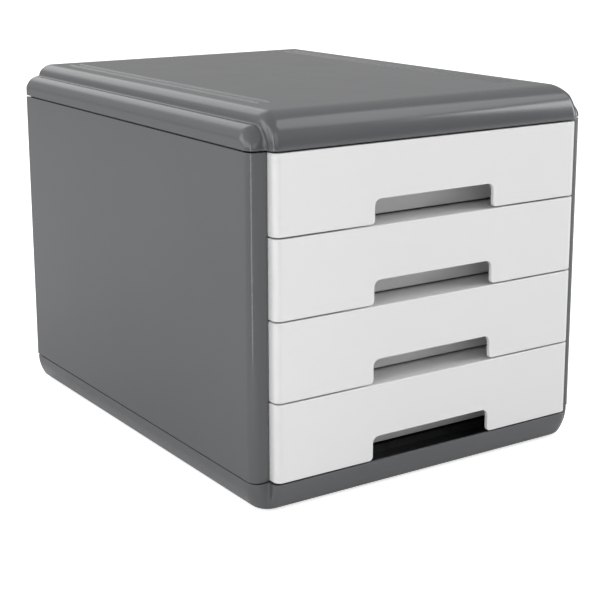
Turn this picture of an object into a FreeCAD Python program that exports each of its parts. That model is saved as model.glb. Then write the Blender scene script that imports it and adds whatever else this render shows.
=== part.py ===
import FreeCAD, Part
import os
import Sketcher

# Desktop drawer unit with four drawers.
# Frame: millimetres, +Z up, drawer fronts face -Y, origin at the middle of the
# footprint on the desk. X is the width, Y the depth.

os.makedirs("parts", exist_ok=True)
V = FreeCAD.Vector
doc = FreeCAD.newDocument("drawer_unit")

# ---------------------------------------------------------------- dimensions
sheet = doc.addObject("Spreadsheet::Sheet", "dims")
TABLE = [
    ("half_width", 145.0, "half of the housing width"),
    ("side_front", -174.0, "front plane of the side panels, Y"),
    ("face_front", -183.0, "front plane of the drawers, lid and base, Y"),
    ("rear", 183.0, "rear plane, Y"),
    ("side_thick", 13.1, "width of the side panel's front strip"),
    ("wall", 2.5, "wall thickness of the housing mouldings"),
    ("base_low", 1.0, "underside of the base above the desk"),
    ("seam_low", 22.8, "centre height of the seam above the base"),
    ("pitch", 56.25, "height step from drawer to drawer"),
    ("seam_gap", 0.4, "half gap between neighbouring drawers"),
    ("rim_gap_low", 0.6, "base rim below the seam centre"),
    ("rim_gap_high", 0.7, "lid rim above the seam centre"),
    ("shoulder_top", 263.9, "height of the lid shoulders"),
    ("lid_top", 272.9, "height of the lid panel"),
    ("panel_half", 133.2, "half width of the raised lid panel"),
    ("lid_front_round", 23.3, "front rounding of the lid panel"),
    ("shoulder_front_round", 14.9, "front rounding of the shoulders"),
    ("lid_edge_round", 9.0, "long edges of the lid panel"),
    ("lid_corner_round", 5.6, "front corner of the lid panel at the seam"),
    ("shoulder_edge_round", 11.0, "long edges of the shoulders"),
    ("side_corner_round", 6.9, "upright front edge of the side panels"),
    ("base_slope_in", 9.0, "how far the base's sloping lower edge runs in"),
    ("base_slope_high", 19.0, "height of that slope"),
    ("base_slope_round", 8.0, "rounding above and below the slope"),
    ("base_corner_round", 23.0, "upright corners of the base, seen from above"),
    ("ridge_inner", 102.6, "X of the inner ridge on the lid"),
    ("ridge_outer", 111.2, "X of the outer ridge on the lid"),
    ("ridge_wide", 2.6, "width of a ridge"),
    ("ridge_high", 0.7, "height of a ridge"),
    ("ridge_front", -130.0, "front end of the ridges, Y"),
    ("ridge_rear", 165.0, "rear end of the ridges, Y"),
    ("front_half", 131.3, "half width of a drawer front"),
    ("front_wall", 3.0, "thickness of the drawer face"),
    ("front_deep", 29.5, "depth of the drawer front moulding"),
    ("front_skin", 2.5, "other walls of the drawer front"),
    ("front_corner", 5.2, "upright edges of the drawer face"),
    ("notch_half", 52.0, "half width of the finger notch"),
    ("notch_high", 17.3, "height of the finger notch"),
    ("notch_corner", 5.0, "upper corners of the notch"),
    ("notch_flare", 3.0, "lower corners of the notch"),
    ("rib_thick", 2.0, "ribs"),
    ("pocket_half", 59.0, "half width of the finger pocket"),
    ("rib_mid", 94.0, "X of the outer stiffening rib"),
    ("tray_half", 126.3, "outer half width of the tub"),
    ("tray_rear", 176.2, "rear of the tub, Y"),
    ("tray_wall", 2.0, "tub wall"),
    ("tray_floor", 2.2, "tub floor"),
    ("tray_low", 1.5, "underside of the tub above its seam"),
    ("tray_high", 52.0, "rim of the tub above its seam"),
    ("flange_half", 131.2, "outer half width over the flanges"),
    ("flange_thick", 2.4, "thickness of the flanges"),
    ("flange_front", -150.0, "front end of flanges and rails, Y"),
    ("nib_high", 1.6, "height of the stop nibs"),
    ("nib_front", 170.0, "front of the stop nibs, Y"),
    ("nib_deep", 4.0, "length of the stop nibs"),
    ("runner_face", 132.2, "inner face of the runner panels, X"),
    ("runner_low", 12.0, "lower edge of the runner panels"),
    ("runner_high", 255.0, "upper edge of the runner panels"),
    ("rail_inner", 127.3, "inner edge of the rails, X"),
    ("rail_low", 46.2, "underside of a rail above its seam"),
    ("rail_high", 49.2, "top of a rail above its seam"),
    ("guide_low", 52.4, "underside of a guide above its seam"),
    ("guide_high", 54.6, "top of a guide above its seam"),
    ("guide_rear", -68.0, "rear end of the upper guides, Y"),
    ("screw_x", 124.0, "screw positions, X"),
    ("screw_front", -138.0, "front screws, Y"),
    ("screw_rear", 146.0, "rear screws, Y"),
    ("foot_x", 104.0, "feet, X"),
    ("foot_front", -146.0, "front feet, Y"),
    ("foot_rear", 154.0, "rear feet, Y"),
    ("foot_round", 9.0, "radius of a foot"),
    ("foot_high", 2.2, "height of a foot"),
]
for row, (alias, value, note) in enumerate(TABLE, start=1):
    sheet.set("A%d" % row, note)
    sheet.set("B%d" % row, str(value))
    sheet.setAlias("B%d" % row, alias)
# A second sheet works out sums of the dimensions where a feature needs the
# plain number, such as the height of an edge that is to be rounded.
sums = doc.addObject("Spreadsheet::Sheet", "sums")
doc.recompute()

ALIASES = sorted((a for a, _, _ in TABLE), key=len, reverse=True)


def val(alias):
    return float(sheet.get(alias))


def ex(text):
    """Write the sheet's name in front of every alias in a formula."""
    out, i = "", 0
    while i < len(text):
        for a in ALIASES:
            end = i + len(a)
            before = text[i - 1] if i else " "
            after = text[end] if end < len(text) else " "
            if text.startswith(a, i) and not (before.isalnum() or before == "_" or after.isalnum() or after == "_"):
                out += "dims." + a
                i = end
                break
        else:
            out += text[i]
            i += 1
    return out


# ------------------------------------------------------------------- helpers
def box(name, x0, x1, y0, y1, z0, z1):
    o = doc.addObject("Part::Box", name)
    o.setExpression("Length", ex("(%s) - (%s)" % (x1, x0)))
    o.setExpression("Width", ex("(%s) - (%s)" % (y1, y0)))
    o.setExpression("Height", ex("(%s) - (%s)" % (z1, z0)))
    o.setExpression("Placement.Base.x", ex(x0))
    o.setExpression("Placement.Base.y", ex(y0))
    o.setExpression("Placement.Base.z", ex(z0))
    return o


def cylinder(name, x, y, z0, z1, radius):
    o = doc.addObject("Part::Cylinder", name)
    o.setExpression("Radius", ex(radius))
    o.setExpression("Height", ex("(%s) - (%s)" % (z1, z0)))
    o.setExpression("Placement.Base.x", ex(x))
    o.setExpression("Placement.Base.y", ex(y))
    o.setExpression("Placement.Base.z", ex(z0))
    return o


def fuse(name, *objs):
    o = doc.addObject("Part::MultiFuse", name)
    o.Shapes = list(objs)
    o.Refine = True
    doc.recompute()
    return o


def cut(name, base, *tools):
    o = doc.addObject("Part::Cut", name)
    o.Base = base
    o.Tool = tools[0] if len(tools) == 1 else fuse(name + "_tools", *tools)
    o.Refine = True
    doc.recompute()
    return o


def common(name, a, b):
    o = doc.addObject("Part::MultiCommon", name)
    o.Shapes = [a, b]
    o.Refine = True
    doc.recompute()
    return o


def ends(edge):
    return edge.Vertexes[0].Point, edge.Vertexes[-1].Point


def find(shape, test):
    """Numbers of the edges whose two end points and middle all pass the test."""
    found = []
    for n, e in enumerate(shape.Edges, start=1):
        if len(e.Vertexes) < 2:
            continue
        mid = e.valueAt((e.FirstParameter + e.LastParameter) / 2.0)
        a, b = ends(e)
        if test(a) and test(b) and test(mid):
            found.append(n)
    return found


def find_mid(shape, test):
    """Numbers of the edges whose middle passes the test."""
    return [n for n, e in enumerate(shape.Edges, start=1)
            if test(e.valueAt((e.FirstParameter + e.LastParameter) / 2.0))]


def rounded(name, base, choices):
    """A fillet feature. choices: list of (edge numbers, radius)."""
    o = doc.addObject("Part::Fillet", name)
    o.Base = base
    o.Edges = [(n, r, r) for numbers, r in choices for n in numbers]
    doc.recompute()
    return o


def near(a, b, tol=0.02):
    return abs(a - b) < tol


def plane_of(body, role):
    for f in body.Origin.OriginFeatures:
        if f.Role == role:
            return f
    raise RuntimeError("no plane " + role)


def body(name, z_text=None):
    b = doc.addObject("PartDesign::Body", name)
    b.Label = name
    if z_text:
        b.setExpression("Placement.Base.z", ex(z_text))
    return b


def sketch(b, name, role, offset_text, loops):
    """Closed loops of straight lines. Each corner is tied to the origin by two
    distances that follow the sheet."""
    s = b.newObject("Sketcher::SketchObject", name)
    s.AttachmentSupport = [(plane_of(b, role), "")]
    s.MapMode = "FlatFace"
    if offset_text:
        s.setExpression("AttachmentOffset.Base.z", ex(offset_text))
    for loop in loops:
        pts = []
        for u, v in loop:
            pts.append((number(u), number(v)))
        first = s.GeometryCount
        n = len(pts)
        for i in range(n):
            p, q = pts[i], pts[(i + 1) % n]
            s.addGeometry(Part.LineSegment(V(p[0], p[1], 0), V(q[0], q[1], 0)), False)
        for i in range(n):
            s.addConstraint(Sketcher.Constraint("Coincident", first + i, 2, first + (i + 1) % n, 1))
        for i in range(n):
            cx = s.addConstraint(Sketcher.Constraint("DistanceX", -1, 1, first + i, 1, pts[i][0]))
            s.setExpression("Constraints[%d]" % cx, ex(loop[i][0]))
            cy = s.addConstraint(Sketcher.Constraint("DistanceY", -1, 1, first + i, 1, pts[i][1]))
            s.setExpression("Constraints[%d]" % cy, ex(loop[i][1]))
    doc.recompute()
    return s


known = {}


def number(text):
    """Value of a formula, worked out in a cell of the second sheet."""
    if text not in known:
        cell = "A%d" % (len(known) + 1)
        sums.set(cell, "=" + ex(text))
        sums.recompute()
        got = sums.get(cell)
        known[text] = float(getattr(got, "Value", got))
    return known[text]


def rect(u0, u1, v0, v1):
    return [(u0, v0), (u1, v0), (u1, v1), (u0, v1)]


def pad(b, name, sk, length_text, backwards=False):
    p = b.newObject("PartDesign::Pad", name)
    p.Profile = sk
    p.setExpression("Length", ex(length_text))
    p.Reversed = backwards
    sk.Visibility = False
    doc.recompute()
    return p


def pocket(b, name, sk, length_text, backwards=False):
    before = b.Shape.Volume
    p = b.newObject("PartDesign::Pocket", name)
    p.Profile = sk
    p.setExpression("Length", ex(length_text))
    p.Reversed = backwards
    doc.recompute()
    if not b.Shape.Volume < before - 1e-3:
        raise RuntimeError(name + " cuts nothing")
    return p


def body_fillet(b, name, test, radius_text):
    tip = b.Tip
    local = tip.Shape
    numbers = find(local, test)
    if not numbers:
        raise RuntimeError("no edge for " + name)
    f = b.newObject("PartDesign::Fillet", name)
    f.Base = (tip, ["Edge%d" % n for n in numbers])
    f.setExpression("Radius", ex(radius_text))
    doc.recompute()
    return f


SUBPARTS = []


def keep(obj, label):
    obj.Label = label
    SUBPARTS.append(obj)
    return obj


SEAM_HIGH = "seam_low + 4 * pitch"
LID_RIM = "seam_low + 4 * pitch + rim_gap_high"
BASE_RIM = "seam_low - rim_gap_low"
lid_rim = number(LID_RIM)
base_rim = number(BASE_RIM)

# --------------------------------------------------------------- top cover
# Low shoulders over the full width with a raised middle panel; the panel's
# front rolls down to the seam in line with the drawer faces.
lid_panel_block = box("lid_panel_block", "-panel_half", "panel_half", "face_front", "rear", LID_RIM, "lid_top")
doc.recompute()
lid_panel_roll = rounded("lid_panel_roll", lid_panel_block, [
    (find(lid_panel_block.Shape, lambda p: near(p.y, val("face_front")) and near(p.z, val("lid_top"))), val("lid_front_round"))])

def chain_at(shape, x_abs, flat_z):
    """Edges along the two side planes, leaving out the rim and the rear."""
    got = []
    for n in find(shape, lambda p: near(abs(p.x), x_abs)):
        ps = [q.Point for q in shape.Edges[n - 1].Vertexes]
        if all(near(p.z, flat_z) for p in ps) or all(near(p.y, val("rear")) for p in ps):
            continue
        got.append(n)
    return got


def blended(name, base, numbers, at_seam, away, seam_z):
    """A fillet feature along a chain that leaves the seam upright with one
    radius and reaches the other radius where its curved stretch ends."""
    o = doc.addObject("Part::Fillet", name)
    o.Base = base
    rows = []
    for n in numbers:
        e = base.Shape.Edges[n - 1]
        ps = [e.valueAt(e.FirstParameter), e.valueAt(e.LastParameter)]
        if e.Curve.TypeId == "Part::GeomCircle":
            d = [abs(p.z - seam_z) for p in ps]
            rows.append((n, at_seam, away) if d[0] < d[1] else (n, away, at_seam))
        elif near(ps[0].y, ps[1].y):
            rows.append((n, at_seam, at_seam))
        else:
            rows.append((n, away, away))
    o.Edges = rows
    doc.recompute()
    return o


lid_panel_edges = blended("lid_panel_edges", lid_panel_roll, chain_at(lid_panel_roll.Shape, val("panel_half"), lid_rim),
                          val("lid_corner_round"), val("lid_edge_round"), lid_rim)

lid_shoulder_block = box("lid_shoulder_block", "-half_width", "half_width", "side_front", "rear", LID_RIM, "shoulder_top")
doc.recompute()
lid_shoulder_roll = rounded("lid_shoulder_roll", lid_shoulder_block, [
    (find(lid_shoulder_block.Shape, lambda p: near(p.y, val("side_front")) and near(p.z, val("shoulder_top"))), val("shoulder_front_round"))])

lid_shoulder_edges = blended("lid_shoulder_edges", lid_shoulder_roll, chain_at(lid_shoulder_roll.Shape, val("half_width"), lid_rim),
                             val("side_corner_round"), val("shoulder_edge_round"), lid_rim)
lid_outer = fuse("lid_outer", lid_panel_edges, lid_shoulder_edges)

lid_panel_hollow = box("lid_panel_hollow", "-panel_half + wall", "panel_half - wall", "face_front + wall", "rear - wall", "seam_low + 4 * pitch - 1", "lid_top - wall")
doc.recompute()
lid_panel_hollow_roll = rounded("lid_panel_hollow_roll", lid_panel_hollow, [
    (find(lid_panel_hollow.Shape, lambda p: near(p.y, val("face_front") + val("wall")) and near(p.z, val("lid_top") - val("wall"))), val("lid_front_round") - 2.5),
    (find(lid_panel_hollow.Shape, lambda p: near(abs(p.x), val("panel_half") - val("wall")) and near(p.z, val("lid_top") - val("wall"))), 6.0)])
lid_shoulder_hollow = box("lid_shoulder_hollow", "-half_width + wall", "half_width - wall", "side_front + wall", "rear - wall", "seam_low + 4 * pitch - 1", "shoulder_top - wall")
doc.recompute()
lid_shoulder_hollow_roll = rounded("lid_shoulder_hollow_roll", lid_shoulder_hollow, [
    (find_mid(lid_shoulder_hollow.Shape, lambda p: near(p.z, val("shoulder_top") - val("wall")) and not near(p.y, val("rear") - val("wall"))), 8.4),
    (find_mid(lid_shoulder_hollow.Shape, lambda p: near(abs(p.x), val("half_width") - val("wall")) and near(p.y, val("side_front") + val("wall"))), 6.9)])
lid_shell = cut("lid_shell", lid_outer, lid_panel_hollow_roll, lid_shoulder_hollow_roll)

# Stiffening ribs under the top and the two long ribs that sit on the runner
# panels, then the two pairs of fine ridges on the top.
extra = []
for n, y in enumerate(("-120", "-45", "30", "105")):
    extra.append(box("lid_cross_rib_%d" % n, "-panel_half + 8", "panel_half - 8", y, y + " + rib_thick", "lid_top - 9", "lid_top - 1.5"))
for n, x in enumerate(("-66", "-1", "64")):
    extra.append(box("lid_long_rib_%d" % n, x, x + " + rib_thick", "face_front + 30", "rear - 1.5", "lid_top - 9", "lid_top - 1.5"))
for side, s in (("left", -1), ("right", 1)):
    a, b2 = ("-runner_face - wall", "-runner_face") if s < 0 else ("runner_face", "runner_face + wall")
    extra.append(box("lid_seat_rib_" + side, a, b2, "side_front + 8", "rear - 1.5", "runner_high", "shoulder_top - 1.5"))
lid_ribbed = fuse("lid_ribbed", lid_shell, *extra)
ridges = []
for side, s in (("left", "-"), ("right", "")):
    for where in ("inner", "outer"):
        x = "%sridge_%s" % (s, where)
        r = box("ridge_%s_%s" % (side, where), x + " - ridge_wide / 2", x + " + ridge_wide / 2", "ridge_front", "ridge_rear", "lid_top - 0.5", "lid_top + ridge_high")
        doc.recompute()
        xe = number(x)
        ridges.append(rounded("ridge_round_%s_%s" % (side, where), r, [
            (find(r.Shape, lambda p: near(p.z, val("lid_top") + val("ridge_high")) and not near(p.y, val("ridge_rear")) and not near(p.y, val("ridge_front"))
                  or near(p.z, val("lid_top") + val("ridge_high"))), 0.6)]))
top_cover = fuse("top_cover_solid", lid_ribbed, *ridges)
keep(top_cover, "top_cover")

# --------------------------------------------------------------- base tray
# The sides lean in towards the underside, and the upright corners have a large
# rounding.
def sloped(name, inset, low, high):
    """A block with rounded upright corners whose lower edges are cut to the
    slope, the given distance inside the outer skin."""
    block = box(name + "_block", "-half_width + %s" % inset, "half_width - %s" % inset, "face_front + %s" % inset, "rear + 60", low, high)
    doc.recompute()
    upright = rounded(name + "_upright", block, [
        (find(block.Shape, lambda p: near(p.y, number("face_front + %s" % inset)) and near(abs(p.x), number("half_width - %s" % inset))),
         number("base_corner_round - %s" % inset))])
    run, rise = val("base_slope_in"), val("base_slope_high")
    # the slope's plane moved inwards by the same distance
    far = number(inset)
    shift = far * ((run * run + rise * rise) ** 0.5)
    small_run = (run * rise + shift - run * far) / rise - far if far else run
    small_rise = small_run * rise / run
    edge = find(upright.Shape, lambda p: near(p.z, number(low)) and near(p.y, number("face_front + %s" % inset)))[0]
    for pair in ((small_run, small_rise), (small_rise, small_run)):
        o = doc.addObject("Part::Chamfer", name + "_slope")
        o.Base = upright
        o.Edges = [(edge,) + pair]
        doc.recompute()
        at = [q.Point.x for q in o.Shape.Vertexes if near(q.Point.z, number(low))]
        if near(max(at), number("half_width - %s" % inset) - small_run, 0.05):
            return o, small_run, small_rise
        doc.removeObject(o.Name)
    raise RuntimeError("the slope of " + name + " came out wrong")


base_cone, run, rise = sloped("base_body", "0", "base_low", BASE_RIM)
base_block_round = rounded("base_block_round", base_cone, [
    (find_mid(base_cone.Shape, lambda p: p.y < val("rear") + 50 and (near(p.z, val("base_low")) or near(p.z, val("base_low") + rise))), val("base_slope_round"))])
# The corners are stepped back in line with the front strips of the side
# panels, so the rim of the base follows the drawers between the panels.
base_plan_mid = box("base_plan_mid", "-(half_width - side_thick)", "half_width - side_thick", "face_front - 1", "rear", "base_low - 1", "seam_low + 1")
base_plan_side = box("base_plan_side", "-half_width", "half_width", "side_front", "rear", "base_low - 1", "seam_low + 1")
doc.recompute()
base_plan_side_round = rounded("base_plan_side_round", base_plan_side, [
    (find_mid(base_plan_side.Shape, lambda p: near(abs(p.x), val("half_width")) and near(p.y, val("side_front"))), val("side_corner_round"))])
base_plan = fuse("base_plan", base_plan_mid, base_plan_side_round)
base_outer = common("base_outer", base_block_round, base_plan)

base_hollow_cone, run_in, rise_in = sloped("base_hollow", "wall", "base_low + wall", "seam_low + 2")
base_hollow_mid = box("base_hollow_mid", "-(half_width - side_thick - wall)", "half_width - side_thick - wall", "face_front", "rear - wall", "base_low", "seam_low + 3")
base_hollow_side = box("base_hollow_side", "-half_width + wall", "half_width - wall", "side_front + wall", "rear - wall", "base_low", "seam_low + 3")
doc.recompute()
base_hollow_side_round = rounded("base_hollow_side_round", base_hollow_side, [
    (find_mid(base_hollow_side.Shape, lambda p: near(abs(p.x), val("half_width") - val("wall")) and near(p.y, val("side_front") + val("wall"))), val("side_corner_round") - 2.5)])
base_hollow_plan = fuse("base_hollow_plan", base_hollow_mid, base_hollow_side_round)
base_hollow = common("base_hollow", base_hollow_cone, base_hollow_plan)
base_shell = cut("base_shell", base_outer, base_hollow)
add = []
for n, y in enumerate(("-130", "-60", "10", "80", "130")):
    add.append(box("base_cross_rib_%d" % n, "-116", "116", y, y + " + rib_thick", "base_low + 1.5", "base_low + 8"))
for n, x in enumerate(("-61", "-1", "59")):
    add.append(box("base_long_rib_%d" % n, x, x + " + rib_thick", "-130", "rear - 1.5", "base_low + 1.5", "base_low + 8"))
POSTS = [("-screw_x", "screw_front"), ("screw_x", "screw_front"), ("-screw_x", "screw_rear"), ("screw_x", "screw_rear")]
for n, (x, y) in enumerate(POSTS):
    add.append(cylinder("base_post_%d" % n, x, y, "base_low + 1.5", "12", "6.4"))
base_ribbed = fuse("base_ribbed", base_shell, *add)
holes = []
for n, (x, y) in enumerate(POSTS):
    holes.append(cylinder("base_screw_hole_%d" % n, x, y, "0", "14", "1.9"))
    holes.append(cylinder("base_head_hole_%d" % n, x, y, "0", "5", "4.3"))
FEET = [("foot_front_left", "-foot_x", "foot_front"), ("foot_front_right", "foot_x", "foot_front"),
        ("foot_rear_left", "-foot_x", "foot_rear"), ("foot_rear_right", "foot_x", "foot_rear")]
for name, x, y in FEET:
    holes.append(cylinder("pocket_" + name, x, y, "0", "foot_high", "foot_round + 0.3"))
base_tray = cut("base_tray_solid", base_ribbed, *holes)
keep(base_tray, "base_tray")

# ------------------------------------------------------------- side panels
for side, s in (("left", -1), ("right", 1)):
    def xs(a, b):
        """Span between two distances from the middle, on this side."""
        return ("-(%s)" % b, "-(%s)" % a) if s < 0 else (a, b)
    z0, z1 = "seam_low + seam_gap", SEAM_HIGH + " - seam_gap"
    o0, o1 = xs("half_width - side_thick", "half_width")
    slab = box("side_slab_" + side, o0, o1, "side_front", "rear", z0, z1)
    doc.recompute()
    slab_r = rounded("side_slab_round_" + side, slab, [
        (find(slab.Shape, lambda p: near(abs(p.x), val("half_width")) and near(p.y, val("side_front"))), val("side_corner_round")),
        (find(slab.Shape, lambda p: near(abs(p.x), val("half_width")) and near(p.y, val("rear"))), 1.2)])
    c0, c1 = xs("half_width - side_thick - 2", "half_width - wall")
    hollow = box("side_hollow_" + side, c0, c1, "side_front + wall", "rear + 2", "seam_low - 2", SEAM_HIGH + " + 2")
    doc.recompute()
    hollow_r = rounded("side_hollow_round_" + side, hollow, [
        (find(hollow.Shape, lambda p: near(abs(p.x), val("half_width") - val("wall")) and near(p.y, val("side_front") + val("wall"))), 4.4)])
    shell = cut("side_shell_" + side, slab_r, hollow_r)
    bits = []
    for n, y in enumerate(("-110", "0", "110")):
        r0, r1 = xs("runner_face + wall", "half_width - wall + 0.5")
        bits.append(box("side_rib_%s_%d" % (side, n), r0, r1, y, y + " + rib_thick", "seam_low + 6", SEAM_HIGH + " - 6"))
    for end, za, zb, zc, zd in (("high", SEAM_HIGH + " - 9", z1, SEAM_HIGH + " - 2", SEAM_HIGH + " + 5.2"),
                                ("low", z0, "seam_low + 9", "seam_low - 2.4", "seam_low + 2")):
        a0, a1 = xs("half_width - wall - 2.5", "half_width - wall + 0.5")
        bits.append(box("side_lip_root_%s_%s" % (side, end), a0, a1, "side_front + 12", "rear - 4", za, zb))
        a0, a1 = xs("half_width - wall - 2.5", "half_width - wall - 0.3")
        bits.append(box("side_lip_%s_%s" % (side, end), a0, a1, "side_front + 12", "rear - 4", zc, zd))
    panel = fuse("side_panel_solid_" + side, shell, *bits)
    keep(panel, side + "_side_panel")

# ----------------------------------------------------------- runner panels
# Liner with a rail and a short upper guide for each drawer. The rear end of
# a guide is the stop for the nib on the tub's flange.
for side, s in (("left", -1), ("right", 1)):
    m = "-" if s < 0 else ""

    def span(a, b):
        return ("%s(%s)" % (m, a), "%s(%s)" % (m, b))
    b = body(side + "_runner_panel")
    pa, pb = span("runner_face", "runner_face + wall")
    sk = sketch(b, "runner_plan_" + side, "XY_Plane", "runner_low", [rect(pa, pb, "side_front + wall + 2", "rear - 3.3")])
    pad(b, "runner_plate_" + side, sk, "runner_high - runner_low")
    ra, rb = span("rail_inner", "runner_face + 0.5")
    sk = sketch(b, "rail_plan_" + side, "XY_Plane", "seam_low + rail_low", [rect(ra, rb, "flange_front", "tray_rear")])
    rail = pad(b, "rail_" + side, sk, "rail_high - rail_low")
    sk = sketch(b, "guide_plan_" + side, "XY_Plane", "seam_low + guide_low", [rect(ra, rb, "flange_front", "guide_rear")])
    guide = pad(b, "guide_" + side, sk, "guide_high - guide_low")
    before = b.Shape.Volume
    pat = b.newObject("PartDesign::LinearPattern", "rails_" + side)
    pat.Originals = [rail, guide]
    pat.Direction = (plane_of(b, "Z_Axis"), [""])
    pat.setExpression("Length", ex("3 * pitch"))
    pat.Occurrences = 4
    b.Tip = pat
    doc.recompute()
    if not b.Shape.Volume > before * 1.05:
        raise RuntimeError("rails were not repeated")
    fa, fb = span("screw_x - 6", "runner_face + 0.5")
    sk = sketch(b, "foot_plan_" + side, "XY_Plane", "12", [rect(fa, fb, "side_front + 9", "rear - 8")])
    pad(b, "runner_foot_" + side, sk, "2.5")
    for n, y in enumerate(("screw_front", "screw_rear")):
        c = b.newObject("Sketcher::SketchObject", "screw_hole_%s_%d" % (side, n))
        c.AttachmentSupport = [(plane_of(b, "XY_Plane"), "")]
        c.MapMode = "FlatFace"
        c.setExpression("AttachmentOffset.Base.z", "16")
        cx, cy = number(m + "screw_x"), number(y)
        c.addGeometry(Part.Circle(V(cx, cy, 0), V(0, 0, 1), 1.65), False)
        k1 = c.addConstraint(Sketcher.Constraint("DistanceX", -1, 1, 0, 3, cx))
        c.setExpression("Constraints[%d]" % k1, ex(m + "screw_x"))
        k2 = c.addConstraint(Sketcher.Constraint("DistanceY", -1, 1, 0, 3, cy))
        c.setExpression("Constraints[%d]" % k2, ex(y))
        c.addConstraint(Sketcher.Constraint("Radius", 0, 1.65))
        doc.recompute()
        pocket(b, "screw_bore_%s_%d" % (side, n), c, "6")
    SUBPARTS.append(b)

# -------------------------------------------------------------- back panel
b = body("back_panel")
sk = sketch(b, "back_outline", "XZ_Plane", None, [rect("-(half_width - wall - 0.3)", "half_width - wall - 0.3", "seam_low + seam_gap", SEAM_HIGH + " - seam_gap")])
sk.setExpression("AttachmentOffset.Base.z", ex("-(rear - 0.3)"))
doc.recompute()
pad(b, "back_plate", sk, "wall")
body_fillet(b, "back_edges", lambda p: near(p.y, val("rear") - 0.3), "0.8")
sk = sketch(b, "back_field", "XZ_Plane", "-(rear - 0.3)", [rect("-110", "110", "seam_low + 26", SEAM_HIGH + " - 26")])
pocket(b, "back_recess", sk, "0.8", True)
body_fillet(b, "back_field_corners", lambda p: near(abs(p.x), 110) and (near(p.z, val("seam_low") + 26) or near(p.z, number(SEAM_HIGH) - 26)) and p.y > val("rear") - 1.2, "8")
SUBPARTS.append(b)

# ----------------------------------------------------------------- drawers
for n in (1, 2, 3, 4):
    seam = "seam_low + %d * pitch" % (4 - n)
    z_low, z_high = val("seam_gap"), val("pitch") - val("seam_gap")

    # Front moulding: face, top ledge, recess wall and sides, open below, with
    # the finger notch in the face's lower edge.
    b = body("drawer_%d_front" % n, seam)
    sk = sketch(b, "front_plan_%d" % n, "XY_Plane", "seam_gap", [rect("-front_half", "front_half", "face_front", "face_front + front_deep")])
    pad(b, "front_block_%d" % n, sk, "pitch - 2 * seam_gap")
    body_fillet(b, "front_corners_%d" % n, lambda p: near(abs(p.x), val("front_half")) and near(p.y, val("face_front")), "front_corner")
    cells = []
    for u0, u1 in (("-(front_half - front_skin)", "-(rib_mid + rib_thick)"), ("-rib_mid", "-(pocket_half + rib_thick)"), ("-pocket_half", "pocket_half"),
                   ("pocket_half + rib_thick", "rib_mid"), ("rib_mid + rib_thick", "front_half - front_skin")):
        cells.append(rect(u0, u1, "face_front + front_wall", "face_front + front_deep - front_skin"))
    sk = sketch(b, "front_cells_%d" % n, "XY_Plane", "seam_gap", cells)
    pocket(b, "front_hollow_%d" % n, sk, "pitch - 2 * seam_gap - front_skin", True)
    sk = sketch(b, "notch_%d" % n, "XZ_Plane", "-(face_front - 1)", [rect("-notch_half", "notch_half", "-1", "seam_gap + notch_high")])
    pocket(b, "notch_cut_%d" % n, sk, "front_wall + 2")
    top = val("seam_gap") + val("notch_high")
    in_face = lambda p: p.y < val("face_front") + val("front_wall") + 0.01
    body_fillet(b, "notch_top_%d" % n, lambda p: near(abs(p.x), val("notch_half")) and near(p.z, top) and in_face(p), "notch_corner")
    body_fillet(b, "notch_low_%d" % n, lambda p: near(abs(p.x), val("notch_half")) and near(p.z, val("seam_gap")) and in_face(p), "notch_flare")
    SUBPARTS.append(b)

    # Document tub with flanges and stop nibs.
    b = body("drawer_%d_tray" % n, seam)
    sk = sketch(b, "tray_plan_%d" % n, "XY_Plane", "tray_low", [rect("-tray_half", "tray_half", "face_front + front_deep", "tray_rear")])
    pad(b, "tray_block_%d" % n, sk, "tray_high - tray_low")
    body_fillet(b, "tray_corners_%d" % n, lambda p: near(abs(p.x), val("tray_half")) and near(p.y, val("tray_rear")), "6")
    body_fillet(b, "tray_bottom_%d" % n, lambda p: near(p.z, val("tray_low")) and not near(p.y, number("face_front + front_deep")), "3")
    sk = sketch(b, "flange_plan_%d" % n, "XY_Plane", "tray_high - flange_thick", [rect("-flange_half", "flange_half", "flange_front", "tray_rear")])
    pad(b, "flange_%d" % n, sk, "flange_thick")
    sk = sketch(b, "tray_inside_%d" % n, "XY_Plane", "tray_low + tray_floor",
                [rect("-(tray_half - tray_wall)", "tray_half - tray_wall", "face_front + front_deep + tray_wall", "tray_rear - tray_wall")])
    pocket(b, "tray_hollow_%d" % n, sk, "tray_high", True)
    inner_x, inner_y0, inner_y1 = number("tray_half - tray_wall"), number("face_front + front_deep + tray_wall"), number("tray_rear - tray_wall")
    floor_z = number("tray_low + tray_floor")
    body_fillet(b, "tray_inner_corners_%d" % n, lambda p: near(abs(p.x), inner_x) and (near(p.y, inner_y0) or near(p.y, inner_y1)), "4")
    body_fillet(b, "tray_inner_floor_%d" % n, lambda p: near(p.z, floor_z), "1.8")
    sk = sketch(b, "nib_plan_%d" % n, "XY_Plane", "tray_high - 0.5", [
        rect("-flange_half", "-(flange_half - 3)", "nib_front", "nib_front + nib_deep"),
        rect("flange_half - 3", "flange_half", "nib_front", "nib_front + nib_deep")])
    pad(b, "nibs_%d" % n, sk, "nib_high + 0.5")
    SUBPARTS.append(b)

# --------------------------------------------------------- feet and screws
for name, x, y in FEET:
    b = body(name)
    b.setExpression("Placement.Base.x", ex(x))
    b.setExpression("Placement.Base.y", ex(y))
    sk = sketch(b, "profile_" + name, "XZ_Plane", None, [[
        ("0", "0"), ("foot_round - 0.8", "0"), ("foot_round", "0.8"), ("foot_round", "foot_high"), ("0", "foot_high")]])
    r = b.newObject("PartDesign::Revolution", "turn_" + name)
    r.Profile = sk
    r.ReferenceAxis = (sk, ["V_Axis"])
    r.Angle = 360
    doc.recompute()
    SUBPARTS.append(b)

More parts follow.
